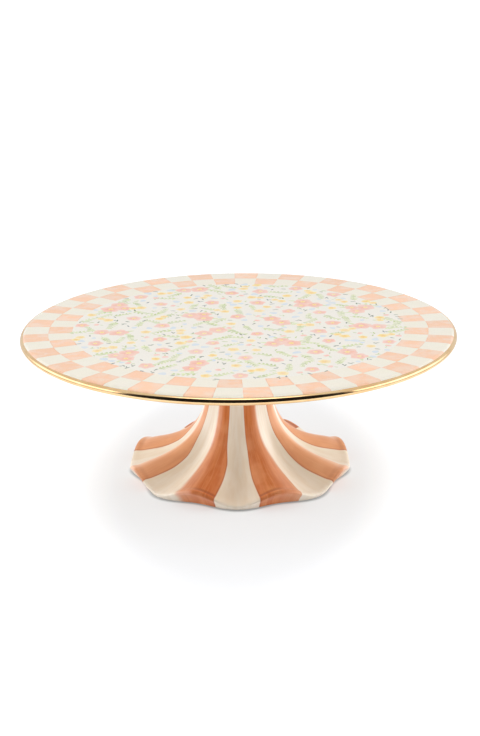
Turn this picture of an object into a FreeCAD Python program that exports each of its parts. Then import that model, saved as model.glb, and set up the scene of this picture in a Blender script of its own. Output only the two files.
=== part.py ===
"""Pedestal cake stand: an enamelled steel platter with a gold metal rim, bolted to a hollow fluted ceramic foot.

Millimetres, +Z up. The origin is the centre of the circle that the stand rests on, so the table top is z = 0.
The foot has eight rounded ridges that arch clear of the table, and between them eight broad troughs that run
out into tongues and carry the weight. A trough points to -Y, which is the front.

Stack, from the top down: enamel face, steel blank, enamel back, gasket, ceramic pedestal, and inside the
pedestal the rubber washer, clamp washer, spring washer and nut on a stud that is welded to the blank.
"""

import FreeCAD
import Part
import math
import os

from FreeCAD import Vector

# Whole stand
PLATTER_RADIUS = 203.2
TOTAL_HEIGHT = 142.0
PAD_THICKNESS = 1.0

# Platter sheet: three layers share one bend, so each is an offset of the next
FACE_COAT = 0.35
STEEL = 1.6
BACK_COAT = 0.25
EDGE_BEND = 3.6
EDGE_BEND_CENTRE_R = 197.6
EDGE_BEND_CENTRE_Z = TOTAL_HEIGHT - EDGE_BEND
FLANGE_END_Z = 135.5

# Rim: a half-round channel rolled over the platter's turned-down edge
RIM_BEAD = 3.25
RIM_WALL = 0.7
RIM_CENTRE_R = PLATTER_RADIUS - RIM_BEAD
RIM_CENTRE_Z = 137.55
RIM_TOP_LIP_DEG = 5.0
RIM_BOTTOM_LIP_DEG = 238.0
RIM_BUTT_GAP = 0.3

# Fastening through the pedestal's crown
STUD_PLATE_RADIUS = 30.0
STUD_PLATE_THICKNESS = 2.0
STUD_RADIUS = 4.0
STUD_END_Z = 112.5
THREAD_PITCH = 1.25
THREAD_DEPTH = 0.62
THREAD_TOP_Z = 129.0
WELD_RADIUS = 5.4
WELD_HEIGHT = 1.1
SCREW_CLEARANCE = 0.06

GASKET_INNER = 31.0
GASKET_OUTER = 42.5
GASKET_THICKNESS = 3.0
CUSHION_INNER = 4.6
CUSHION_OUTER = 19.0
CUSHION_THICKNESS = 2.5
CLAMP_INNER = 4.3
CLAMP_OUTER = 18.0
CLAMP_THICKNESS = 2.0
CLAMP_CHAMFER = 0.5
SPRING_INNER = 4.15
SPRING_OUTER = 7.4
SPRING_THICKNESS = 2.0
SPRING_GAP = 1.2
NUT_ACROSS_FLATS = 13.0
NUT_HEIGHT = 6.5
NUT_CHAMFER = 0.9

# Pedestal
FLUTES = 8
POLES_PER_FLUTE = 12
CERAMIC_WALL = 6.0
CROWN_HOLE_RADIUS = 5.2
SPLIT_Z = 58.0
FOOT_BOTTOM_Z = PAD_THICKNESS
CROWN_TOP_Z = TOTAL_HEIGHT - FACE_COAT - STEEL - BACK_COAT - GASKET_THICKNESS
CEILING_Z = CROWN_TOP_Z - CERAMIC_WALL
PAD_RADIUS = 2.8
PAD_CENTRE_R = 99.5

# Outline of the pedestal's outside down the middle of a trough and down the crest of a ridge, as (radius, height)
# from crown to foot. Each row is the same feature in both, and the surface in between is a blend of the two.
# The hem ends in a small rolled lip with a shallow groove inside it.
OUTLINE = [
    # trough, ridge
    ((43.0, CROWN_TOP_Z), (43.0, CROWN_TOP_Z)),
    ((45.4, CROWN_TOP_Z), (45.6, CROWN_TOP_Z)),
    ((46.8, CROWN_TOP_Z - 1.4), (47.4, CROWN_TOP_Z - 1.4)),
    ((46.0, 131.0), (46.8, 131.0)),
    ((41.0, 124.0), (42.0, 124.0)),
    ((36.0, 113.5), (36.6, 113.5)),
    ((32.0, 101.0), (33.2, 101.0)),
    ((30.2, 89.0), (31.4, 89.0)),
    ((30.4, 77.0), (32.0, 77.0)),
    ((32.2, 66.0), (34.6, 65.0)),
    ((35.0, 56.0), (38.6, 54.5)),
    ((38.5, 46.0), (44.5, 45.0)),
    ((44.0, 36.5), (52.0, 37.4)),
    ((51.0, 27.5), (62.0, 31.0)),
    ((61.0, 19.5), (73.0, 26.0)),
    ((73.5, 13.2), (84.0, 22.4)),
    ((86.5, 9.0), (94.0, 19.6)),
    ((97.0, 6.0), (100.4, 16.9)),
    ((102.6, 5.9), (104.8, 18.0)),
    ((105.6, 4.5), (107.3, 15.2)),
    ((105.5, 2.7), (104.5, 12.4)),
    ((104.6, 1.8), (98.5, 7.0)),
    ((104.0, FOOT_BOTTOM_Z), (95.5, FOOT_BOTTOM_Z)),
]
TROUGH = [trough for trough, ridge in OUTLINE]
RIDGE = [ridge for trough, ridge in OUTLINE]

# The cavity keeps the wall thickness between these two rows, then drops to the floor at these radii.
FIRST_HOLLOW_ROW = 4
LAST_HOLLOW_ROW = 16
FOOT_INNER_TROUGH = 86.0
FOOT_INNER_RIDGE = 88.0
CUT_BELOW = 6.0


def ring(r_inner, r_outer, z_low, z_high):
    """A flat ring about Z, or a disc where r_inner is 0."""
    height = z_high - z_low
    solid = Part.makeCylinder(r_outer, height, Vector(0, 0, z_low))
    if r_inner > 0:
        solid = solid.cut(Part.makeCylinder(r_inner, height, Vector(0, 0, z_low)))
    return solid


def revolve(edges):
    """A full turn about Z of a closed outline in the XZ plane."""
    face = Part.Face(Part.Wire(Part.__sortEdges__(edges)))
    return face.revolve(Vector(0, 0, 0), Vector(0, 0, 1), 360)


def point(r, z):
    return Vector(r, 0, z)


def polar(centre_r, centre_z, radius, degrees):
    """A point on a circle in the section plane. 0 degrees is up and 90 is outwards."""
    angle = math.radians(degrees)
    return point(centre_r + radius * math.sin(angle), centre_z + radius * math.cos(angle))


def revolve_polygon(points):
    closed = points + points[:1]
    return revolve([Part.makeLine(point(*a), point(*b)) for a, b in zip(closed, closed[1:])])


# ---------------------------------------------------------------- platter


def sheet_layer(depth_top, depth_bottom, r_start):
    """The part of the bent platter sheet between two depths under its top face, from r_start to the flange."""
    outer = EDGE_BEND - depth_top
    inner = EDGE_BEND - depth_bottom
    centre = (EDGE_BEND_CENTRE_R, EDGE_BEND_CENTRE_Z)

    def arc(radius):
        ends = [polar(*centre, radius, degrees) for degrees in (0, 45, 90)]
        return Part.Arc(*ends).toShape()

    top_flat = point(r_start, EDGE_BEND_CENTRE_Z + outer)
    bottom_flat = point(r_start, EDGE_BEND_CENTRE_Z + inner)
    outer_foot = point(EDGE_BEND_CENTRE_R + outer, FLANGE_END_Z)
    inner_foot = point(EDGE_BEND_CENTRE_R + inner, FLANGE_END_Z)
    return revolve(
        [
            Part.makeLine(top_flat, polar(*centre, outer, 0)),
            arc(outer),
            Part.makeLine(polar(*centre, outer, 90), outer_foot),
            Part.makeLine(outer_foot, inner_foot),
            Part.makeLine(inner_foot, polar(*centre, inner, 90)),
            arc(inner),
            Part.makeLine(polar(*centre, inner, 0), bottom_flat),
            Part.makeLine(bottom_flat, top_flat),
        ]
    )


def enamel_face():
    return sheet_layer(0, FACE_COAT, 0)


def platter_blank():
    return sheet_layer(FACE_COAT, FACE_COAT + STEEL, 0)


def enamel_back():
    """The back coat leaves the welded stud plate bare."""
    return sheet_layer(FACE_COAT + STEEL, FACE_COAT + STEEL + BACK_COAT, STUD_PLATE_RADIUS + 0.2)


def rim_band():
    """The rolled channel. Its top lip closes on the enamel, and its two ends meet at a fine gap at the back."""
    centre = (RIM_CENTRE_R, RIM_CENTRE_Z)
    middle = (RIM_TOP_LIP_DEG + RIM_BOTTOM_LIP_DEG) / 2

    def arc(radius):
        stops = (RIM_TOP_LIP_DEG, middle, RIM_BOTTOM_LIP_DEG)
        return Part.Arc(*[polar(*centre, radius, degrees) for degrees in stops]).toShape()

    inner_radius = RIM_BEAD - RIM_WALL
    lips = [
        Part.makeLine(polar(*centre, RIM_BEAD, degrees), polar(*centre, inner_radius, degrees))
        for degrees in (RIM_TOP_LIP_DEG, RIM_BOTTOM_LIP_DEG)
    ]
    channel = revolve([arc(RIM_BEAD), arc(inner_radius), *lips])
    sheet = sheet_layer(0, FACE_COAT + STEEL + BACK_COAT, EDGE_BEND_CENTRE_R - EDGE_BEND)
    gap = Part.makeBox(RIM_BUTT_GAP, 20, 20, Vector(-RIM_BUTT_GAP / 2, PLATTER_RADIUS - 15, TOTAL_HEIGHT - 15))
    return channel.cut(sheet).cut(gap)


# ---------------------------------------------------------------- fastening


def stud_plate():
    top = TOTAL_HEIGHT - FACE_COAT - STEEL
    return ring(STUD_RADIUS, STUD_PLATE_RADIUS, top - STUD_PLATE_THICKNESS, top)


def stud():
    """A threaded rod with its weld fillet. The thread is a stack of ridges at the real pitch and depth."""
    top = TOTAL_HEIGHT - FACE_COAT - STEEL
    weld_top = top - STUD_PLATE_THICKNESS
    outline = [
        (0, top),
        (STUD_RADIUS, top),
        (STUD_RADIUS, weld_top),
        (WELD_RADIUS, weld_top),
        (STUD_RADIUS, weld_top - WELD_HEIGHT),
        (STUD_RADIUS, THREAD_TOP_Z),
    ]
    turns = int((THREAD_TOP_Z - STUD_END_Z) / THREAD_PITCH)
    for turn in range(turns):
        crest = THREAD_TOP_Z - turn * THREAD_PITCH
        outline.append((STUD_RADIUS - THREAD_DEPTH, crest - THREAD_PITCH / 2))
        outline.append((STUD_RADIUS, crest - THREAD_PITCH))
    outline.append((STUD_RADIUS - THREAD_DEPTH, STUD_END_Z))
    outline.append((0, STUD_END_Z))
    return revolve_polygon(outline)


def gasket():
    return ring(GASKET_INNER, GASKET_OUTER, CROWN_TOP_Z, CROWN_TOP_Z + GASKET_THICKNESS)


def cushion_washer():
    return ring(CUSHION_INNER, CUSHION_OUTER, CEILING_Z - CUSHION_THICKNESS, CEILING_Z)


def clamp_washer():
    top = CEILING_Z - CUSHION_THICKNESS
    bottom = top - CLAMP_THICKNESS
    return revolve_polygon(
        [
            (CLAMP_INNER, top),
            (CLAMP_OUTER, top),
            (CLAMP_OUTER, bottom + CLAMP_CHAMFER),
            (CLAMP_OUTER - CLAMP_CHAMFER, bottom),
            (CLAMP_INNER, bottom),
        ]
    )


def spring_washer():
    """A split lock washer, drawn as tightened flat."""
    top = CEILING_Z - CUSHION_THICKNESS - CLAMP_THICKNESS
    washer = ring(SPRING_INNER, SPRING_OUTER, top - SPRING_THICKNESS, top)
    slit = Part.makeBox(SPRING_OUTER, SPRING_GAP, 2 * SPRING_THICKNESS)
    slit.translate(Vector(0, -SPRING_GAP / 2, top - 1.5 * SPRING_THICKNESS))
    return washer.cut(slit)


def clamp_nut():
    """A hexagon nut with turned corners and a chamfered bore."""
    top = CEILING_Z - CUSHION_THICKNESS - CLAMP_THICKNESS - SPRING_THICKNESS
    bottom = top - NUT_HEIGHT
    corner = NUT_ACROSS_FLATS / math.sqrt(3)
    corners = [
        Vector(corner * math.cos(k * math.pi / 3), corner * math.sin(k * math.pi / 3), bottom) for k in range(6)
    ]
    prism = Part.Face(Part.makePolygon(corners + corners[:1])).extrude(Vector(0, 0, NUT_HEIGHT))
    shoulder = corner - NUT_CHAMFER
    turned = revolve_polygon(
        [
            (0, bottom),
            (shoulder, bottom),
            (corner, bottom + NUT_CHAMFER / 2),
            (corner, top - NUT_CHAMFER / 2),
            (shoulder, top),
            (0, top),
        ]
    )
    bore_radius = STUD_RADIUS + SCREW_CLEARANCE
    lead_in = 0.6
    bore = revolve_polygon(
        [
            (0, bottom),
            (bore_radius + lead_in, bottom),
            (bore_radius, bottom + lead_in),
            (bore_radius, top - lead_in),
            (bore_radius + lead_in, top),
            (0, top),
        ]
    )
    return prism.common(turned).cut(bore)


# ---------------------------------------------------------------- pedestal


def ridge_share(theta):
    """0 in the middle of a trough and 1 on the crest of a ridge. A trough is at -Y."""
    return 0.5 - 0.5 * math.cos(FLUTES * (theta + math.pi / 2))


def fluted_solid(trough, ridge):
    """A closed solid whose side blends the two outlines round the axis, with flat caps at both ends."""
    around = FLUTES * POLES_PER_FLUTE
    columns = []
    for k in range(around):
        theta = 2 * math.pi * k / around
        share = ridge_share(theta)
        column = []
        for (trough_r, trough_z), (ridge_r, ridge_z) in zip(trough, ridge):
            r = trough_r + (ridge_r - trough_r) * share
            z = trough_z + (ridge_z - trough_z) * share
            column.append(Vector(r * math.cos(theta), r * math.sin(theta), z))
        columns.append(column)
    degree = 3
    spans = len(trough) - degree
    side = Part.BSplineSurface()
    side.buildFromPolesMultsKnots(
        columns,
        [1] * (around + 1),
        [degree + 1] + [1] * (spans - 1) + [degree + 1],
        list(range(around + 1)),
        list(range(spans + 1)),
        True,
        False,
        degree,
        degree,
    )
    caps = [Part.Face(Part.Wire(side.vIso(v).toShape())) for v in (0, spans)]
    shell = Part.makeShell([side.toShape(), *caps])
    shell.sewShape()
    solid = Part.makeSolid(shell)
    if solid.Volume < 0:
        solid.reverse()
    return solid


def hollow_outline(outline, foot_inner):
    """A flat ceiling, then the outline moved in by the wall thickness, then a drop through the foot's underside."""
    wall = []
    for row in range(FIRST_HOLLOW_ROW, LAST_HOLLOW_ROW + 1):
        (r0, z0), (r1, z1) = outline[row - 1], outline[row + 1]
        length = math.hypot(r1 - r0, z1 - z0)
        r, z = outline[row]
        wall.append((r + CERAMIC_WALL * (z1 - z0) / length, z - CERAMIC_WALL * (r1 - r0) / length))
    ceiling = [(wall[0][0] - 8.0, CEILING_Z), (wall[0][0] - 2.0, CEILING_Z)]
    drop = [(foot_inner, FOOT_BOTTOM_Z), (foot_inner, FOOT_BOTTOM_Z - CUT_BELOW)]
    return ceiling + wall + drop


def pedestal():
    """The fired foot, given as two solids that meet at SPLIT_Z: a stem and a skirt, each with a simpler hollow."""
    outside = fluted_solid(TROUGH, RIDGE)
    cavity = fluted_solid(
        hollow_outline(TROUGH, FOOT_INNER_TROUGH),
        hollow_outline(RIDGE, FOOT_INNER_RIDGE),
    )
    hole = Part.makeCylinder(CROWN_HOLE_RADIUS, 3 * CERAMIC_WALL, Vector(0, 0, CEILING_Z - CERAMIC_WALL))
    whole = outside.cut(cavity).cut(hole)
    stem = whole.common(ring(0, PLATTER_RADIUS, SPLIT_Z, TOTAL_HEIGHT))
    skirt = whole.common(ring(0, PLATTER_RADIUS, 0, SPLIT_Z))
    return Part.makeCompound([*stem.Solids, *skirt.Solids])


def foot_pad(index):
    """A thin round pad under one tongue. Pad 1 is at the front and the rest follow anticlockwise from above."""
    angle = -math.pi / 2 + 2 * math.pi * (index - 1) / FLUTES
    centre = Vector(PAD_CENTRE_R * math.cos(angle), PAD_CENTRE_R * math.sin(angle), 0)
    return Part.makeCylinder(PAD_RADIUS, PAD_THICKNESS, centre)


def all_nodes():
    nodes = {
        "enamel_face": enamel_face(),
        "platter_blank": platter_blank(),
        "enamel_back": enamel_back(),
        "rim_band": rim_band(),
        "stud_plate": stud_plate(),
        "stud": stud(),
        "gasket": gasket(),
        "pedestal": pedestal(),
        "cushion_washer": cushion_washer(),
        "clamp_washer": clamp_washer(),
        "spring_washer": spring_washer(),
        "clamp_nut": clamp_nut(),
    }
    for index in range(1, FLUTES + 1):
        nodes[f"foot_pad_{index}"] = foot_pad(index)
    return nodes


def main():
    os.makedirs("parts", exist_ok=True)
    for name, shape in all_nodes().items():
        shape.exportStep(os.path.join("parts", name + ".step"))
        print(f"{name}: solids {len(shape.Solids)}, valid {shape.isValid()}, {shape.Volume / 1000:.2f} cm3")


main()
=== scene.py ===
"""Pedestal cake stand: a printed enamel platter with a gold rim on a fluted, hand-glazed ceramic foot.

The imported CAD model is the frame. The print is drawn in millimetres, and everything else is in metres.
"""

import math
import random

import bpy
from mathutils import Matrix, Vector
from mathutils.geometry import delaunay_2d_cdt


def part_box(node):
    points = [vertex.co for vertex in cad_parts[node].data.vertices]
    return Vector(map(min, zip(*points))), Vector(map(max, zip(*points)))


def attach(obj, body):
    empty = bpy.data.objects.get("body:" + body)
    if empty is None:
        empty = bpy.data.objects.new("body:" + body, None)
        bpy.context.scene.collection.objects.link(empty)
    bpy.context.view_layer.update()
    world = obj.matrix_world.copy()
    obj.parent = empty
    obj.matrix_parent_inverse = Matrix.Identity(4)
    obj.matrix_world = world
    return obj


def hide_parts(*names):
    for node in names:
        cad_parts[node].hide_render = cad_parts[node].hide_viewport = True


MM = 0.001

# The enamelled sheet, in millimetres: flat to FLAT_RADIUS, then bent down through EDGE_BEND into the rim.
# The ground is cut at WRAP_DEG round the bend, from the outside in.
FLAT_RADIUS = 197.6
EDGE_BEND = 3.6
FACE_COAT = 0.35
FLANGE_DROP = 6.5
RIM_SEGMENTS = 360
WRAP_DEG = (60, 50, 40, 30, 20, 10, 0)
BEND_STEP_DEG = 10

# The check border, in millimetres: two rings of squares round the flower field
CHECKS = 50
RING_RADII = (154.8, 176.8, 201.0)
CHECK_PHASE_DEG = -1.0
CHECK_EDGE = 0.9
HAND_WOBBLE = 0.22

# The flower field, in millimetres
FIELD_RADIUS = RING_RADII[0]
FIELD_SEGMENTS = 180
PETALS = 5
PLACE_TRIES = 30
PRINT_SEED = 41
WELD_DISTANCE = 1e-4
RING_TOLERANCE = 1e-3

# The foot's stripes: eight troughs, each with a cream stripe that narrows part way down. The stem's stripes
# are turned by STEM_TWIST radians.
FLUTES = 8
CREAM_HALF_WIDTH_DEG = 11.4
CREAM_PINCH_DEG = 1.7
WAVER_DEG = 0.5
STEM_TWIST = 0.045

# Where the foot's paint changes, as pairs of radii or heights: none of the change at the first of a pair,
# and all of it at the second.
TWIST_RADII = (0.060, 0.034)
PINCH_START_RADII = (0.044, 0.060)
PINCH_END_RADII = (0.104, 0.068)
TAUT_RADII = (0.045, 0.080)
# These place the painted shade in the groove inside the lip, and the lip's painted highlight and painted
# shade
GROOVE_START_RADII = (0.0970, 0.1000)
GROOVE_END_RADII = (0.1035, 0.1012)
GROOVE_HEIGHTS = (0.009, 0.013)
LIP_RADII = (0.1035, 0.1055)
LIP_SHADE_RADII = (0.1035, 0.1060)

# What tells the foot's glazed outside from its hollow and its bare foot ring
STRIPED_SLOT, HOLLOW_SLOT, BARE_SLOT = range(3)
FOOT_RING_DEPTH = 0.0003
CEILING_RADIUS = 0.04
CROWN_EDGE_Z = 0.1310
HEM_RADIUS = 0.09

# The floor, which glows faintly as painted light. Its painted contact shadow follows the hem in and out by
# HEM_SCALLOP.
FLOOR_NEAR = 0.52
FLOOR_FAR = 14.0
FLOOR_SEGMENTS = 96
HEM_SCALLOP = 0.0046
PAINTED_CONTACT_SHADOW_RADII = (0.0995, 0.1035)

# The studio's light, as strengths of the world and as name, place, diameter and power of each lamp
STUDIO_GLOW = 0.77
OVERHEAD_GLOW = 1.5
SIDE_GLOW = 1.5
FRONT_DARKNESS = 0.98
LAMPS = (
    ("key", (0.5, -1.2, 2.2), 1.6, 11),
    ("fill", (-1.4, -0.9, 1.3), 1.4, 5),
    ("left", (-1.3, 0.10, 0.22), 0.9, 4.0),
    ("right", (1.3, 0.10, 0.22), 0.9, 5.0),
)
LAMP_AIM_Z = 0.1

# The camera, which is placed from the middle of the platter's top
CAMERA_AZIMUTH_DEG = 1.6
CAMERA_ELEVATION_DEG = 16.59
CAMERA_ROLL_DEG = -0.62
CAMERA_DISTANCE = 1.608
CAMERA_TARGET = (0.0011, 0, 0.102)
LENS_MM = 84.1
SENSOR_MM = 36


def srgb(red, green, blue):
    """A linear colour from 8-bit display values."""
    channels = []
    for value in (red, green, blue):
        share = value / 255
        channels.append(share / 12.92 if share <= 0.04045 else ((share + 0.055) / 1.055) ** 2.4)
    return tuple(channels)


# The print's colours
IVORY = srgb(241, 234, 217)
FIELD_WHITE = srgb(240, 235, 225)
PEACH = srgb(252, 202, 166)
PEACH_EDGE = srgb(248, 191, 155)
PINK = srgb(249, 201, 184)
PINK_DEEP = srgb(243, 176, 154)
BLUSH = srgb(249, 211, 198)
GOLDEN = srgb(253, 226, 148)
AMBER = srgb(249, 209, 110)
PRIMROSE = srgb(254, 233, 168)
LEAF = srgb(214, 222, 168)
LEAF_DEEP = srgb(190, 204, 142)
STROKE = srgb(98, 116, 92)
SLATE = srgb(108, 120, 126)
SKY = srgb(212, 222, 232)

# The foot's colours
BURNT_ORANGE = srgb(208, 112, 54)
SOFT_ORANGE = srgb(221, 133, 76)
STRAND = srgb(244, 180, 132)
POOL = srgb(240, 170, 120)
# Painted sheen: paler orange on a stripe's far side and on the flanks
FAR_SIDE_PAINTED_SHEEN = srgb(249, 206, 172)
FLANK_PAINTED_SHEEN = srgb(249, 196, 152)
CREAM = srgb(242, 226, 205)
CREAM_LIGHT = srgb(248, 236, 220)
STRIPE_LINE = srgb(176, 84, 40)
# Painted shade in the groove inside the lip, and the lip's painted highlight and painted shade
GROOVE_PAINTED_SHADE = srgb(150, 64, 28)
LIP_PAINTED_HIGHLIGHT = srgb(246, 186, 158)
LIP_PAINTED_SHADE = srgb(160, 84, 44)


# ------------------------------------------------------------------ print


class Print:
    """Painted outlines in the order they are laid down, each with a colour that changes outwards."""

    def __init__(self):
        self.shapes = []

    def add(self, outline, centre, reach, inner, outer):
        """Outlines are kept anticlockwise, as the triangulation needs."""
        ends = zip(outline, outline[1:] + outline[:1])
        if sum(x0 * y1 - x1 * y0 for (x0, y0), (x1, y1) in ends) < 0:
            outline = outline[::-1]
        self.shapes.append((outline, centre, reach, inner, outer))

    def colour(self, index, place):
        """The colour of one shape at a place inside it."""
        _, centre, reach, inner, outer = self.shapes[index]
        share = min(1.0, math.dist(centre, place) / reach)
        return tuple(a + (b - a) * share for a, b in zip(inner, outer))


def circle(radius, segments):
    return [
        (radius * math.cos(math.tau * k / segments), radius * math.sin(math.tau * k / segments))
        for k in range(segments)
    ]


def placed(centre, turn, x, y):
    """The point x, y of a motif that is turned and then moved to its centre."""
    return (
        centre[0] + x * math.cos(turn) - y * math.sin(turn),
        centre[1] + x * math.sin(turn) + y * math.cos(turn),
    )


def beyond(place, turn, distance):
    """The point this far from a place, in the direction of the turn."""
    return (place[0] + distance * math.cos(turn), place[1] + distance * math.sin(turn))


def tint(colour, rng, spread):
    """The colour made slightly lighter or darker at random."""
    gain = 1 + rng.uniform(-spread, spread)
    return tuple(min(1.0, channel * gain) for channel in colour)


def blob(design, rng, centre, across, along, turn, inner, outer, points=12, wobble=0.08):
    """An uneven oval dab of the brush."""
    phase = rng.uniform(0, math.tau)
    outline = []
    for k in range(points):
        angle = math.tau * k / points
        swell = 1 + wobble * math.sin(3 * angle + phase) + wobble * rng.uniform(-0.5, 0.5)
        x = along * swell * math.cos(angle)
        y = across * swell * math.sin(angle)
        outline.append(placed(centre, turn, x, y))
    design.add(outline, centre, max(across, along), inner, outer)


def petal(design, rng, root, turn, length, width, inner, outer):
    """One petal, narrow at the flower's centre and round at its tip."""
    outline = []
    steps = 7
    for side in (1, -1):
        for k in range(steps):
            share = (k + 0.5) / steps if side == 1 else 1 - (k + 0.5) / steps
            half = 0.5 * width * math.sin(math.pi * share**0.72) ** 0.8
            x = length * (0.08 + 0.92 * share)
            y = side * half * (1 + rng.uniform(-0.06, 0.06))
            outline.append(placed(root, turn, x, y))
    design.add(outline, root, length, inner, outer)


def flower(design, rng, centre, radius, inner, outer, heart, eye):
    """Overlapping petals, each with a deeper wash near the centre, then thin rays, a heart and an eye."""
    spin = rng.uniform(0, math.tau)
    for k in range(PETALS):
        turn = spin + math.tau * k / PETALS + rng.uniform(-0.10, 0.10)
        length = radius * rng.uniform(0.90, 1.08)
        width = radius * rng.uniform(0.92, 1.08)
        petal(design, rng, centre, turn, length, width, inner, tint(outer, rng, 0.04))
    for k in range(PETALS):
        turn = spin + math.tau * (k + 0.5) / PETALS
        petal(design, rng, centre, turn, radius * 0.62, radius * 0.16, inner, tint(inner, rng, 0.05))
    blob(design, rng, centre, radius * 0.24, radius * 0.24, 0, heart, heart, points=9)
    blob(design, rng, centre, radius * 0.12, radius * 0.12, 0, eye, eye, points=7)


def stroke(design, rng, centre, turn, length, width, colour):
    """A small leaf made with one touch of the brush."""
    outline = []
    points = 10
    for k in range(points):
        angle = math.tau * k / points
        x = 0.5 * length * math.cos(angle)
        y = 0.5 * width * math.sin(angle) * (1 - 0.35 * math.cos(angle))
        outline.append(placed(centre, turn, x, y))
    design.add(outline, centre, 0.5 * length, colour, tint(colour, rng, 0.10))


def sprig(design, rng, centre, turn, length, colour, deep):
    """A bent stem with paired leaves that get smaller towards its tip."""
    bend = rng.uniform(-0.5, 0.5)
    pairs = 5
    spans = 6

    def along(share):
        x = length * (share - 0.5)
        y = bend * length * (share - 0.5) ** 2
        return placed(centre, turn, x, y)

    left = []
    right = []
    for k in range(spans + 1):
        x, y = along(k / spans)
        half = 0.22 + 0.16 * (1 - k / spans)
        left.append((x - half * math.sin(turn), y + half * math.cos(turn)))
        right.append((x + half * math.sin(turn), y - half * math.cos(turn)))
    design.add(left + right[::-1], centre, length, deep, deep)
    for k in range(pairs):
        share = 0.16 + 0.78 * k / (pairs - 1)
        leaf = length * (0.28 - 0.10 * share)
        for side in (1, -1):
            lean = turn + 2 * bend * (share - 0.5) + side * rng.uniform(0.65, 0.95)
            middle = beyond(along(share), lean, 0.5 * leaf)
            shade = tint(rng.choice((colour, colour, deep)), rng, 0.10)
            stroke(design, rng, middle, lean, leaf, leaf * 0.46, shade)
    stroke(design, rng, along(1.04), turn + bend, length * 0.16, length * 0.07, colour)


# ------------------------------------------------------------------ motifs, each drawn at one place


def posy(design, rng, place):
    """Two or three pink flowers that touch, with leaves showing behind them."""
    turn = rng.uniform(0, math.tau)
    members = (
        # distance out, direction, radius
        (8.0, 0.0, 10.6),
        (8.0, math.pi, 9.4),
        (10.5, math.pi / 2, 8.2),
    )
    for out, swing, radius in members[: rng.choice((2, 2, 3))]:
        lean = turn + swing
        centre = beyond(place, lean, out)
        for spread in (-0.5, 0.5):
            tip = beyond(centre, lean + spread, 1.05 * radius)
            stroke(design, rng, tip, lean + spread, 7.5, 3.0, LEAF)
        flower(design, rng, centre, radius, PINK_DEEP, PINK, GOLDEN, AMBER)


def single_flower(design, rng, place):
    radius = rng.uniform(7.0, 9.0)
    flower(design, rng, place, radius, PINK_DEEP, rng.choice((PINK, PINK, BLUSH)), GOLDEN, AMBER)


def yellow_flower(design, rng, place):
    """A small yellow flower, sometimes with a smaller one beside it."""
    flower(design, rng, place, rng.uniform(4.8, 6.4), AMBER, PRIMROSE, AMBER, PINK_DEEP)
    if rng.random() < 0.35:
        beside = beyond(place, rng.uniform(0, math.tau), 8.5)
        flower(design, rng, beside, 4.6, AMBER, PRIMROSE, AMBER, PINK_DEEP)


def leafy_sprig(design, rng, place):
    turn = rng.uniform(0, math.tau)
    sprig(design, rng, place, turn, rng.uniform(17, 23), LEAF, LEAF_DEEP)


def bud(design, rng, place):
    """Three closed petals and a green heel."""
    turn = rng.uniform(0, math.tau)
    for lean in (-0.45, 0.0, 0.45):
        petal(design, rng, place, turn + lean, 5.8, 3.4, PINK_DEEP, BLUSH)
    stroke(design, rng, beyond(place, turn, -2.2), turn, 3.8, 1.5, LEAF_DEEP)


def dot(design, rng, place):
    """A pale blue dab."""
    size = rng.uniform(2.0, 3.6)
    blob(design, rng, place, size, size * rng.uniform(1.0, 1.5), rng.uniform(0, 3), SKY, SKY, wobble=0.14)


def brush_mark(design, rng, place):
    """A dark little leaf, sometimes with a shorter one beside it."""
    turn = rng.uniform(0, math.tau)
    colour = rng.choice((STROKE, STROKE, SLATE, LEAF_DEEP))
    stroke(design, rng, place, turn, rng.uniform(4.4, 6.4), rng.uniform(1.3, 1.8), colour)
    if rng.random() < 0.35:
        stroke(design, rng, beyond(place, turn + 1.2, 2.8), turn + 0.9, 3.4, 1.3, colour)


# The motifs in the order their places are chosen
MOTIFS = (
    # motif, how many, room round each, furthest place from the middle
    (posy, 13, 15.0, 142),
    (single_flower, 30, 8.0, 150),
    (yellow_flower, 50, 5.6, 152),
    (leafy_sprig, 84, 6.0, 151),
    (bud, 30, 4.4, 152),
    (dot, 80, 3.4, 153),
    (brush_mark, 190, 2.6, 155),
)
PAINTING_ORDER = (dot, leafy_sprig, brush_mark, posy, single_flower, yellow_flower, bud)


# ------------------------------------------------------------------ the whole print


def check_square(design, rng, k, low, high):
    """One hand-painted square of the border: a slightly deeper edge with a paler wash inside it."""
    step = math.tau / CHECKS
    middle = math.radians(CHECK_PHASE_DEG) + k * step
    sides = 6
    for inset, colour in ((0.0, PEACH_EDGE), (CHECK_EDGE, PEACH)):
        half = 0.5 * step - inset / high
        near, far = low + inset, high - inset
        corners = [(near, -half), (near, half), (far, half), (far, -half)]
        outline = []
        for (r0, a0), (r1, a1) in zip(corners, corners[1:] + corners[:1]):
            for part in range(sides):
                share = part / sides
                r = r0 + (r1 - r0) * share + rng.uniform(-HAND_WOBBLE, HAND_WOBBLE)
                a = middle + a0 + (a1 - a0) * share + rng.uniform(-HAND_WOBBLE, HAND_WOBBLE) / r
                outline.append((r * math.sin(a), -r * math.cos(a)))
        r = 0.5 * (low + high)
        wash = tint(colour, rng, 0.05)
        design.add(outline, (r * math.sin(middle), -r * math.cos(middle)), high - low, wash, wash)


def lay_ground(design, rng):
    """The ivory ground round the bent edge, the check border, and the white field inside it."""
    for degrees in WRAP_DEG:
        radius = FLAT_RADIUS + EDGE_BEND * math.radians(degrees)
        design.add(circle(radius, RIM_SEGMENTS), (0, 0), 1, IVORY, IVORY)
    for ring in (0, 1):
        for k in range(ring, CHECKS + ring, 2):
            check_square(design, rng, k, RING_RADII[ring], RING_RADII[ring + 1])
    field = []
    for k in range(FIELD_SEGMENTS):
        angle = math.tau * k / FIELD_SEGMENTS
        radius = FIELD_RADIUS * (1 + rng.uniform(-0.002, 0.002))
        field.append((radius * math.cos(angle), radius * math.sin(angle)))
    design.add(field, (0, 0), 1, FIELD_WHITE, FIELD_WHITE)


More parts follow.
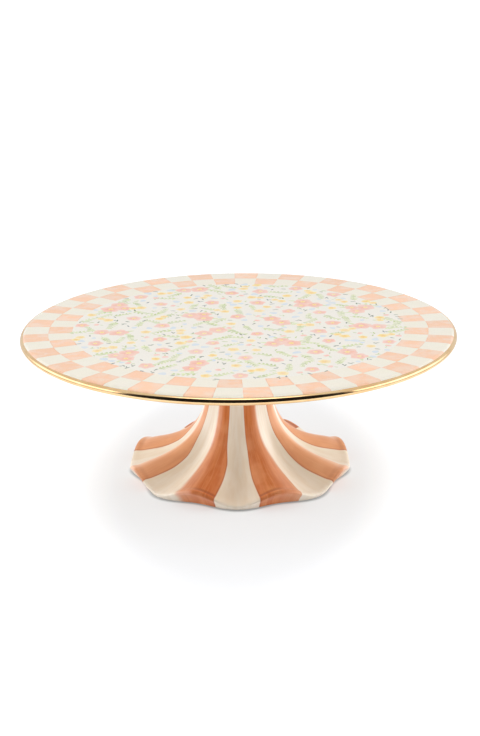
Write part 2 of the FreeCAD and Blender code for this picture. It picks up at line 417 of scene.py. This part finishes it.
def scatter(rng, taken, count, room, reach):
    """Places spread evenly over the field: each is the clearest of a few random tries."""
    found = []
    for _ in range(count):
        best, best_gap = None, -math.inf
        for _ in range(PLACE_TRIES):
            r = reach * math.sqrt(rng.random())
            place = beyond((0, 0), rng.uniform(0, math.tau), r)
            gap = min((math.dist(place, other) - taken_room for other, taken_room in taken), default=0)
            if gap > best_gap:
                best, best_gap = place, gap
        taken.append((best, room))
        found.append(best)
    return found


def flower_print():
    """The ground and border, then a close scatter of small garden flowers, leaves and dots."""
    rng = random.Random(PRINT_SEED)
    design = Print()
    lay_ground(design, rng)
    taken = []
    places = {}
    for motif, count, room, reach in MOTIFS:
        places[motif] = scatter(rng, taken, count, room, reach)
    for motif in PAINTING_ORDER:
        for place in places[motif]:
            motif(design, rng, place)
    return design


# ------------------------------------------------------------------ printed sheet


def over_edge(x, y):
    """Lays a point of the flat print on the sheet, round its bent edge where it reaches past the flat."""
    radius = math.hypot(x, y)
    if radius <= FLAT_RADIUS:
        return (x, y, 0.0)
    angle = (radius - FLAT_RADIUS) / EDGE_BEND
    share = (FLAT_RADIUS + EDGE_BEND * math.sin(angle)) / radius
    return (x * share, y * share, EDGE_BEND * (math.cos(angle) - 1))


def under_edge_profile():
    """The rest of the coat's section, from under the rim round to its under face, as (radius, drop)."""
    profile = []
    for degrees in range(WRAP_DEG[0] + BEND_STEP_DEG, 91, BEND_STEP_DEG):
        angle = math.radians(degrees)
        profile.append((FLAT_RADIUS + EDGE_BEND * math.sin(angle), EDGE_BEND * (math.cos(angle) - 1)))
    inner = EDGE_BEND - FACE_COAT
    profile.append((FLAT_RADIUS + EDGE_BEND, -FLANGE_DROP))
    profile.append((FLAT_RADIUS + inner, -FLANGE_DROP))
    for degrees in range(90, -1, -BEND_STEP_DEG):
        angle = math.radians(degrees)
        profile.append((FLAT_RADIUS + inner * math.sin(angle), inner * math.cos(angle) - EDGE_BEND))
    return profile


def cut_print(design):
    """Cuts the flat print along every outline. Gives its points, polygons and the top shape on each."""
    points = []
    outlines = []
    for outline, *_ in design.shapes:
        outlines.append(list(range(len(points), len(points) + len(outline))))
        points.extend(Vector(point) for point in outline)
    flat, _, pieces, _, _, owners = delaunay_2d_cdt(points, [], outlines, 0, WELD_DISTANCE, True)
    places = [tuple(point) for point in flat]
    polygons = [tuple(piece) for piece in pieces]
    shape_of = [max(owner) if owner else 0 for owner in owners]
    return places, polygons, shape_of


def outer_ring(places):
    """The indices of the print's outermost points, in order round the rim."""
    edge = FLAT_RADIUS + EDGE_BEND * math.radians(WRAP_DEG[0])
    ring = [0] * RIM_SEGMENTS
    for index, (x, y) in enumerate(places):
        if abs(math.hypot(x, y) - edge) < RING_TOLERANCE:
            ring[round(math.atan2(y, x) / math.tau * RIM_SEGMENTS) % RIM_SEGMENTS] = index
    return ring


def lay_ink(mesh, design, places, shape_of):
    """Stores the painted colours on the mesh as its ink attribute."""
    colours = []
    for polygon, shape in zip(mesh.polygons, shape_of):
        for index in polygon.vertices:
            colours.extend((*design.colour(shape, places[index]), 1.0))
    ink = mesh.attributes.new("ink", "FLOAT_COLOR", "CORNER")
    ink.data.foreach_set("color", colours)


def enamel_face_mesh(top):
    """The printed coat as one closed skin: its cut print, then ring after ring round to its under face."""
    design = flower_print()
    places, polygons, shape_of = cut_print(design)
    vertices = [over_edge(x, y) for x, y in places]
    previous = outer_ring(places)
    for radius, drop in under_edge_profile():
        start = len(vertices)
        for x, y in circle(radius, RIM_SEGMENTS):
            places.append((x, y))
            vertices.append((x, y, drop))
        for k in range(RIM_SEGMENTS):
            after = (k + 1) % RIM_SEGMENTS
            polygons.append((previous[k], start + k, start + after, previous[after]))
        previous = [start + k for k in range(RIM_SEGMENTS)]
    polygons.append(tuple(reversed(previous)))
    shape_of += [0] * (len(polygons) - len(shape_of))

    mesh = bpy.data.meshes.new("enamel_face_print")
    mesh.from_pydata([(x * MM, y * MM, top + z * MM) for x, y, z in vertices], [], polygons)
    lay_ink(mesh, design, places, shape_of)
    mesh.polygons.foreach_set("use_smooth", [True] * len(mesh.polygons))
    mesh.update()
    return mesh


# ------------------------------------------------------------------ materials


class Nodes:
    """A node tree with short calls for the nodes used here. A value is a number or a node's output."""

    def __init__(self, owner):
        owner.use_nodes = True
        self.owner = owner
        self.tree = owner.node_tree
        self.shader = self.tree.nodes.get("Principled BSDF")

    def new(self, kind, **settings):
        node = self.tree.nodes.new(kind)
        for key, value in settings.items():
            setattr(node, key, value)
        return node

    def link(self, source, target):
        self.tree.links.new(source, target)

    def put(self, socket, value):
        if isinstance(value, bpy.types.NodeSocket):
            self.link(value, socket)
        else:
            socket.default_value = value

    def math(self, operation, *values):
        node = self.new("ShaderNodeMath", operation=operation)
        for socket, value in zip(node.inputs, values):
            self.put(socket, value)
        return node.outputs[0]

    def times(self, first, *others):
        product = first
        for value in others:
            product = self.math("MULTIPLY", product, value)
        return product

    def noise(self, scale, detail=2.0, vector=None):
        node = self.new("ShaderNodeTexNoise")
        self.put(node.inputs["Scale"], scale)
        self.put(node.inputs["Detail"], detail)
        self.put(node.inputs["Roughness"], 0.5)
        self.put(node.inputs["Vector"], vector if vector else self.position())
        return node.outputs["Fac"]

    def position(self):
        return self.new("ShaderNodeNewGeometry").outputs["Position"]

    def split(self, vector):
        node = self.new("ShaderNodeSeparateXYZ")
        self.link(vector, node.inputs[0])
        return node.outputs

    def join(self, *values):
        node = self.new("ShaderNodeCombineXYZ")
        for socket, value in zip(node.inputs, values):
            self.put(socket, value)
        return node.outputs[0]

    def length(self, x, y):
        return self.math("SQRT", self.math("ADD", self.math("POWER", x, 2.0), self.math("POWER", y, 2.0)))

    def angle(self, x, y):
        """The angle round Z, which is 0 at the front and grows towards +X."""
        return self.math("ARCTAN2", x, self.times(y, -1.0))

    def ramp(self, value, low, high, start=0.0, end=1.0, smooth=True):
        """Goes from start to end as the value goes from low to high, and stays level outside them."""
        kind = "SMOOTHSTEP" if smooth else "LINEAR"
        node = self.new("ShaderNodeMapRange", interpolation_type=kind)
        for socket, number in zip(node.inputs, (value, low, high, start, end)):
            self.put(socket, number)
        return node.outputs[0]

    def mix(self, share, a, b, blend="MIX"):
        """A mix of two colours."""
        node = self.new("ShaderNodeMix", data_type="RGBA", blend_type=blend)
        self.put(node.inputs["Factor"], share)
        for socket, value in ((node.inputs[6], a), (node.inputs[7], b)):
            self.put(socket, value if isinstance(value, bpy.types.NodeSocket) else (*value, 1.0))
        return node.outputs[2]

    def mix_values(self, share, a, b):
        """A mix of two plain numbers."""
        node = self.new("ShaderNodeMix", data_type="FLOAT")
        for socket, value in zip(node.inputs[:1] + node.inputs[2:4], (share, a, b)):
            self.put(socket, value)
        return node.outputs[0]

    def bump(self, height, distance):
        node = self.new("ShaderNodeBump")
        self.put(node.inputs["Height"], height)
        self.put(node.inputs["Distance"], distance)
        self.put(node.inputs["Strength"], 1.0)
        self.link(node.outputs["Normal"], self.shader.inputs["Normal"])

    def surface(self, **values):
        """Sets the shader's inputs, whose names are written here with underscores."""
        for key, value in values.items():
            socket = self.shader.inputs[key.replace("_", " ")]
            self.put(socket, value if not isinstance(value, tuple) else (*value, 1.0))
        return self.owner


def material_nodes(name):
    return Nodes(bpy.data.materials.new(name))


def print_material():
    """Printed enamel: the ink attribute under clear glaze, with washes that thin as a brush leaves them."""
    n = material_nodes("printed_enamel")
    ink = n.new("ShaderNodeAttribute", attribute_name="ink").outputs["Color"]
    pale = n.ramp(n.noise(95, detail=3.0), 0.38, 0.66, 0.0, 0.30)
    washed = n.mix(pale, ink, FIELD_WHITE)
    grain = n.ramp(n.noise(900), 0.3, 0.7, 0.97, 1.03)
    shade = n.new("ShaderNodeCombineColor")
    for socket in shade.inputs[:3]:
        n.link(grain, socket)
    toned = n.mix(1.0, washed, shade.outputs[0], blend="MULTIPLY")
    n.bump(n.noise(130, detail=1.0), 0.00004)
    return n.surface(Base_Color=toned, Roughness=n.ramp(n.noise(40), 0.3, 0.7, 0.10, 0.16))


def plain_enamel_material():
    """The cream under coat, with faint specks and the ripple of dipped enamel."""
    n = material_nodes("plain_enamel")
    tone = n.mix(n.ramp(n.noise(30, detail=4.0), 0.3, 0.7), srgb(232, 226, 212), srgb(240, 235, 224))
    specks = n.ramp(n.noise(1400, detail=0.0), 0.74, 0.80, 0.0, 0.5)
    n.bump(n.noise(90), 0.00012)
    return n.surface(Base_Color=n.mix(specks, tone, srgb(170, 158, 140)), Roughness=0.14)


def gold_material():
    """Polished gold finish with fine lengthwise rolling lines and a faint cloudiness."""
    n = material_nodes("gold_rim")
    x, y, z = n.split(n.position())
    lines = n.noise(2600, vector=n.join(n.length(x, y), z, 0.0))
    cloud = n.noise(60, detail=3.0)
    tone = n.mix(n.ramp(cloud, 0.3, 0.7), srgb(243, 200, 146), srgb(250, 216, 166))
    n.bump(lines, 0.000005)
    return n.surface(Base_Color=tone, Metallic=1.0, Roughness=n.ramp(cloud, 0.3, 0.7, 0.09, 0.14))


class FootPaint:
    """Hand-painted stripes: burnt orange on the ridges and warm cream in the troughs."""

    def __init__(self, n):
        self.n = n
        x, y, self.z = n.split(n.position())
        self.radius = n.length(x, y)
        twist = n.ramp(self.radius, *TWIST_RADII, 0.0, STEM_TWIST)
        self.turn = n.math("ADD", n.angle(x, y), twist)
        self.cosine = n.math("DIVIDE", x, self.radius)
        self.sine = n.math("DIVIDE", y, self.radius)
        self.along = n.math("SUBTRACT", self.radius, self.z)
        # 0 at the front and the back, and 1 at the left and right
        self.flank = n.math("SUBTRACT", 1.0, n.math("ABSOLUTE", self.sine))
        # Above 0 on the side of an orange stripe that is nearer the front, and below 0 on its far side
        self.lean = n.math("SINE", n.times(n.math("ABSOLUTE", self.turn), float(FLUTES)))
        self.crisp = n.ramp(self.lean, -0.10, 0.25)
        # The soft far edge of each stripe is partly the paint thinning out and partly painted sheen
        self.feather_and_sheen = self.feather_and_sheen_share()
        self.inward = self.inward_value()
        crisp_edge = n.ramp(self.inward, -0.045, 0.045)
        soft_edge = n.ramp(self.inward, -0.06, 0.62)
        self.orange = n.mix_values(self.feather_and_sheen, crisp_edge, soft_edge)
        self.bands = self.brushed(16.0, 30.0, 3.0)

    def brushed(self, across, lengthwise, detail):
        """Noise drawn out along the stripes, with this many strands to the radian."""
        n = self.n
        place = n.join(
            n.times(self.cosine, across),
            n.times(self.sine, across),
            n.times(self.along, lengthwise),
        )
        return n.noise(1.0, detail=detail, vector=place)

    def feather_and_sheen_share(self):
        """How softly a stripe's far edge fades: partly the paint thinning out, partly a painted sheen. It
        is tauter on the +X side.
        """
        n = self.n
        taut = n.times(
            n.ramp(self.cosine, 0.15, 0.28),
            n.ramp(self.cosine, 0.76, 0.66),
            n.ramp(self.radius, *TAUT_RADII, 0.0, 0.9),
        )
        return n.times(n.ramp(self.lean, 0.05, -0.35), n.math("SUBTRACT", 1.0, taut))

    def inward_value(self):
        """0 on the edge between the colours, and above 0 inside the orange."""
        n = self.n
        pinch = n.times(n.ramp(self.radius, *PINCH_START_RADII), n.ramp(self.radius, *PINCH_END_RADII))
        half = n.math("SUBTRACT", CREAM_HALF_WIDTH_DEG, n.times(pinch, CREAM_PINCH_DEG))
        waver = n.ramp(self.brushed(4.0, 14.0, 1.0), 0.25, 0.75, -WAVER_DEG, WAVER_DEG, smooth=False)
        half = n.math("ADD", half, waver)
        edge = n.math("COSINE", n.math("RADIANS", n.times(half, float(FLUTES))))
        return n.math("SUBTRACT", edge, n.math("COSINE", n.times(self.turn, float(FLUTES))))

    def orange_wash(self):
        """Orange with brushed strands and pale pools, and a painted sheen that makes it paler on a stripe's
        far side and on the flanks.
        """
        n = self.n
        strands = self.brushed(70.0, 24.0, 3.0)
        wash = n.mix(n.ramp(self.bands, 0.34, 0.68), BURNT_ORANGE, SOFT_ORANGE)
        wash = n.mix(n.ramp(strands, 0.48, 0.78, 0.0, 0.28), wash, STRAND)
        wash = n.mix(n.ramp(n.noise(38, detail=3.0), 0.48, 0.70, 0.0, 0.40), wash, POOL)
        # Painted sheen on the far side of each stripe, stronger towards the flanks
        thin = n.times(n.ramp(self.lean, 0.45, -0.80), n.ramp(self.flank, 0.10, 0.60, 0.16, 0.70))
        wash = n.mix(thin, wash, FAR_SIDE_PAINTED_SHEEN)
        # Painted sheen towards the left and right flanks
        return n.mix(n.ramp(self.flank, 0.15, 0.55, 0.0, 0.46), wash, FLANK_PAINTED_SHEEN)

    def cream_wash(self):
        n = self.n
        return n.mix(n.ramp(self.bands, 0.3, 0.7), CREAM, CREAM_LIGHT)

    def stripes(self):
        """Both washes, with a dark line where the crisp edge of the orange meets the cream."""
        n = self.n
        painted = n.mix(self.orange, self.cream_wash(), self.orange_wash())
        line = n.times(self.orange, self.crisp, n.ramp(self.inward, 0.15, 0.04, 0.0, 0.50))
        return n.mix(line, painted, STRIPE_LINE)

    def hem(self, painted):
        """Painted shade in the groove inside the lip, and a painted highlight and painted shade on the lip.
        The cream has none of them.
        """
        n = self.n
        # Painted shade in the groove inside the lip, strongest on a stripe's side nearer the front and
        # weaker on the flanks
        groove = n.times(
            n.ramp(self.radius, *GROOVE_START_RADII),
            n.ramp(self.radius, *GROOVE_END_RADII),
            n.ramp(self.z, *GROOVE_HEIGHTS, 0.0, 0.60),
            n.ramp(self.lean, -0.45, 0.55, 0.12, 1.0),
            n.ramp(self.flank, 0.15, 0.50, 1.0, 0.20),
        )
        painted = n.mix(n.times(groove, self.orange), painted, GROOVE_PAINTED_SHADE)
        # A painted highlight along the lip, where the orange's far edge is soft
        pink = n.times(n.ramp(self.radius, *LIP_RADII, 0.0, 0.45), self.feather_and_sheen, self.orange)
        painted = n.mix(pink, painted, LIP_PAINTED_HIGHLIGHT)
        # Painted shade on the lip's outer edge, on the crisp side of the orange
        lip_shade = n.times(n.ramp(self.radius, *LIP_SHADE_RADII, 0.0, 0.30), self.crisp, self.orange)
        return n.mix(lip_shade, painted, LIP_PAINTED_SHADE)


def glaze_material():
    """The foot's painted stripes under a satin glaze that isn't quite level."""
    n = material_nodes("striped_glaze")
    paint_on_foot = FootPaint(n)
    n.bump(n.noise(60), 0.0003)
    return n.surface(Base_Color=paint_on_foot.hem(paint_on_foot.stripes()), Roughness=0.30)


def inner_glaze_material():
    """The plain glaze inside the hollow foot, thinner and less even than outside."""
    n = material_nodes("inner_glaze")
    tone = n.mix(n.ramp(n.noise(28, detail=4.0), 0.3, 0.7), srgb(222, 208, 184), srgb(236, 226, 206))
    specks = n.ramp(n.noise(700, detail=1.0), 0.70, 0.78, 0.0, 0.6)
    n.bump(n.noise(45, detail=3.0), 0.0006)
    return n.surface(Base_Color=n.mix(specks, tone, srgb(140, 104, 70)), Roughness=0.22)


def bisque_material():
    """Bare fired clay on the ring that is wiped clean before firing."""
    n = material_nodes("bare_foot_ring")
    tone = n.mix(n.ramp(n.noise(220, detail=5.0), 0.3, 0.7), srgb(206, 186, 160), srgb(224, 208, 184))
    n.bump(n.noise(1500, detail=4.0), 0.0001)
    return n.surface(Base_Color=tone, Roughness=0.85)


def steel_material(name, low, high, rough):
    """Plain or zinc-plated steel, cloudy, with a fine grain."""
    n = material_nodes(name)
    cloud = n.noise(120, detail=4.0)
    tone = n.mix(n.ramp(cloud, 0.3, 0.7), low, high)
    n.bump(n.noise(2400, detail=3.0), 0.00002)
    return n.surface(Base_Color=tone, Metallic=1.0, Roughness=n.ramp(cloud, 0.3, 0.7, rough, rough + 0.15))


def rubber_material(name, low, high, rough, clear=0.0):
    """Moulded rubber or silicone with a fine matt texture."""
    n = material_nodes(name)
    tone = n.mix(n.ramp(n.noise(300, detail=3.0), 0.3, 0.7), low, high)
    n.bump(n.noise(2600), 0.00003)
    return n.surface(Base_Color=tone, Roughness=rough, Transmission_Weight=clear)


# ------------------------------------------------------------------ object


def paint(node, *materials):
    node.data.materials.clear()
    for material in materials:
        node.data.materials.append(material)


def paint_pedestal(node):
    """Striped glaze outside, plain glaze in the hollow and bare clay on the foot ring."""
    paint(node, glaze_material(), inner_glaze_material(), bisque_material())
    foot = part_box("pedestal")[0].z
    for polygon in node.data.polygons:
        middle, normal = polygon.center, polygon.normal
        radius = math.hypot(middle.x, middle.y)
        outward = Vector((middle.x, middle.y, 0)).normalized().dot(normal)
        on_foot_ring = normal.z < -0.99 and middle.z < foot + FOOT_RING_DEPTH
        on_ceiling = normal.z < -0.9 and radius < CEILING_RADIUS
        in_hem_groove = normal.z > 0 and radius > HEM_RADIUS
        on_inner_wall = outward < -0.02 and middle.z < CROWN_EDGE_Z and not in_hem_groove
        if on_foot_ring:
            polygon.material_index = BARE_SLOT
        elif on_ceiling or on_inner_wall:
            polygon.material_index = HOLLOW_SLOT
        else:
            polygon.material_index = STRIPED_SLOT


def add_printed_face():
    """The printed coat takes the place of the plain one."""
    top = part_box("enamel_face")[1].z
    face = bpy.data.objects.new("enamel_face_print", enamel_face_mesh(top))
    bpy.context.scene.collection.objects.link(face)
    paint(face, print_material())
    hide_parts("enamel_face")
    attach(face, "root")


def build_object(nodes):
    add_printed_face()
    zinc = steel_material("zinc_plate", srgb(176, 178, 178), srgb(206, 208, 206), 0.30)
    bare = steel_material("bare_steel", srgb(120, 120, 122), srgb(156, 156, 156), 0.38)
    paint(nodes["platter_blank"], bare)
    paint(nodes["stud_plate"], bare)
    paint(nodes["enamel_back"], plain_enamel_material())
    paint(nodes["rim_band"], gold_material())
    for name in ("stud", "clamp_washer", "spring_washer", "clamp_nut"):
        paint(nodes[name], zinc)
    silicone = rubber_material("silicone_gasket", srgb(222, 220, 212), srgb(234, 232, 226), 0.5)
    rubber = rubber_material("black_rubber", srgb(28, 28, 28), srgb(44, 44, 43), 0.75)
    paint(nodes["gasket"], silicone)
    paint(nodes["cushion_washer"], rubber)
    pads = rubber_material("clear_pads", srgb(226, 226, 222), srgb(240, 240, 236), 0.35, clear=0.35)
    for k in range(1, FLUTES + 1):
        paint(nodes[f"foot_pad_{k}"], pads)
    paint_pedestal(nodes["pedestal"])


# ------------------------------------------------------------------ studio


def floor_material():
    """Matt, and glowing faintly as painted light, so that the stand's own shadow stays light and gathers
    close round it: the glow is painted dimmer in an oval round the stand and dimmer still along the hem, as
    painted shadow.
    """
    n = material_nodes("floor")
    x, y, _ = n.split(n.position())
    # The glow is dimmed within an oval round the stand: a painted shadow.
    spread = n.length(n.times(x, 2.2), y)
    # A painted contact shadow that follows the scalloped hem dims the glow further.
    scallop = n.times(n.math("COSINE", n.times(n.angle(x, y), float(FLUTES))), HEM_SCALLOP)
    contact = n.ramp(n.math("SUBTRACT", n.length(x, y), scallop), *PAINTED_CONTACT_SHADOW_RADII, 0.40, 1.0)
    return n.surface(
        Base_Color=(0.40, 0.41, 0.43),
        Roughness=0.9,
        Specular_IOR_Level=0.0,
        Emission_Color=(1.0, 1.0, 1.0),
        Emission_Strength=n.times(n.ramp(spread, 0.23, 0.38, 0.53, 0.78), contact),
    )


def flat_mesh(name, outline, polygons):
    mesh = bpy.data.meshes.new(name)
    mesh.from_pydata([(x, y, 0.0) for x, y in outline], [], polygons)
    return mesh


def add_floor():
    """A white floor. Its far part doesn't show in reflections, so polished metal sees the studio beyond."""
    inner = circle(FLOOR_NEAR, FLOOR_SEGMENTS)
    outer = circle(FLOOR_FAR, FLOOR_SEGMENTS)
    ring = []
    for k in range(FLOOR_SEGMENTS):
        after = (k + 1) % FLOOR_SEGMENTS
        ring.append((k, FLOOR_SEGMENTS + k, FLOOR_SEGMENTS + after, after))
    near = flat_mesh("floor_near", inner, [tuple(range(FLOOR_SEGMENTS))])
    far = flat_mesh("floor_far", inner + outer, ring)
    material = floor_material()
    for mesh in (near, far):
        floor = bpy.data.objects.new(mesh.name, mesh)
        floor.visible_glossy = mesh is near
        bpy.context.scene.collection.objects.link(floor)
        paint(floor, material)


def add_lamp(name, place, diameter, power):
    """A round lamp, aimed at the stand, that lights it but doesn't show in reflections."""
    data = bpy.data.lights.new(name, "AREA")
    data.shape = "DISK"
    data.size = diameter
    data.energy = power
    lamp = bpy.data.objects.new(name, data)
    lamp.location = place
    aim = Vector((0, 0, LAMP_AIM_Z)) - Vector(place)
    lamp.rotation_euler = aim.to_track_quat("-Z", "Y").to_euler()
    lamp.visible_glossy = False
    bpy.context.scene.collection.objects.link(lamp)


def add_world():
    """A white studio, brighter overhead and at both sides, and dark in front for the rim to reflect."""
    world = bpy.data.worlds.new("studio")
    bpy.context.scene.world = world
    n = Nodes(world)
    x, y, z = n.split(n.new("ShaderNodeTexCoord").outputs["Generated"])
    front = n.math("DIVIDE", y, n.length(x, y))
    dark = n.times(n.ramp(front, -0.40, -0.56), n.ramp(z, 0.970, 0.945), FRONT_DARKNESS)
    side = n.times(n.ramp(n.math("ABSOLUTE", x), 0.66, 0.88), n.ramp(z, -0.02, 0.05), n.ramp(z, 0.50, 0.38))
    strength = n.math("ADD", STUDIO_GLOW, n.ramp(z, 0.935, 0.965, 0.0, OVERHEAD_GLOW))
    strength = n.math("ADD", strength, n.times(side, SIDE_GLOW))
    strength = n.times(strength, n.math("SUBTRACT", 1.0, dark))
    background = n.tree.nodes["Background"]
    n.link(strength, background.inputs["Strength"])
    background.inputs["Color"].default_value = (1.0, 1.0, 1.0, 1.0)


def add_camera():
    azimuth = math.radians(CAMERA_AZIMUTH_DEG)
    elevation = math.radians(CAMERA_ELEVATION_DEG)
    back = Vector(
        (
            math.sin(azimuth) * math.cos(elevation),
            -math.cos(azimuth) * math.cos(elevation),
            math.sin(elevation),
        )
    )
    platter_top = Vector((0, 0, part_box("enamel_face")[1].z))
    data = bpy.data.cameras.new("camera")
    data.lens = LENS_MM
    data.sensor_width = SENSOR_MM
    camera = bpy.data.objects.new("camera", data)
    camera.location = platter_top + back * CAMERA_DISTANCE
    aim = Vector(CAMERA_TARGET) - camera.location
    look = aim.to_track_quat("-Z", "Y").to_matrix().to_4x4()
    roll = Matrix.Rotation(math.radians(CAMERA_ROLL_DEG), 4, "Z")
    camera.rotation_euler = (look @ roll).to_euler()
    bpy.context.scene.collection.objects.link(camera)
    bpy.context.scene.camera = camera


def build_studio():
    add_floor()
    add_world()
    for name, place, diameter, power in LAMPS:
        add_lamp(name, place, diameter, power)
    add_camera()
    bpy.context.scene.view_settings.view_transform = "Standard"


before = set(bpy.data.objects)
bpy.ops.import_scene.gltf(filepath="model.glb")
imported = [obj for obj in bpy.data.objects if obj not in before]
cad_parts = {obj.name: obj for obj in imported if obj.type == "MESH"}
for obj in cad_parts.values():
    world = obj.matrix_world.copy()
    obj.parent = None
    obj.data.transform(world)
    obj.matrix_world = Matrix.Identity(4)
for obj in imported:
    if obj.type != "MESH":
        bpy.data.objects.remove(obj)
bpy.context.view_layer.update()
build_object(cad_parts)
build_studio()
